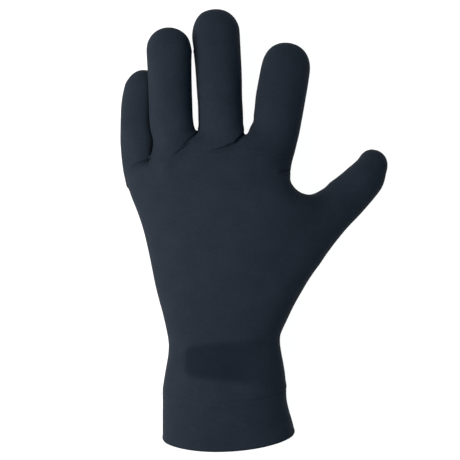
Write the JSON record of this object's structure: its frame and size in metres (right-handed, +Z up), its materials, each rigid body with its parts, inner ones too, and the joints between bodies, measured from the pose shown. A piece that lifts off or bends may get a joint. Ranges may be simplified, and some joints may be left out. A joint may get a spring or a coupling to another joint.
{
  "type": "diving glove",
  "caption": "Plain left-hand wet diving glove in neoprene with separate finger stalls, a free thumb and a short cuff band, lying palm down.",
  "frame": {"origin": "middle of the glove's box, on the table that it lies on", "axes": "+Z up off the table through the back of the hand, +Y from the hem to the fingertips, +X to the thumb's side"},
  "size_m": [0.1646, 0.2656, 0.0459],
  "materials": {
    "jersey": "dark navy nylon jersey laminated on neoprene foam, matt with a faint sheen",
    "cuff_jersey": "the same jersey on the cuff band, turned at the hem"
  },
  "bodies": {
    "root": {"cuff_band": "cuff_jersey", "back_panel": "jersey", "palm_panel": "jersey", "little_finger": "jersey", "ring_finger": "jersey", "middle_finger": "jersey", "index_finger": "jersey"}
  },
  "joints": []
}
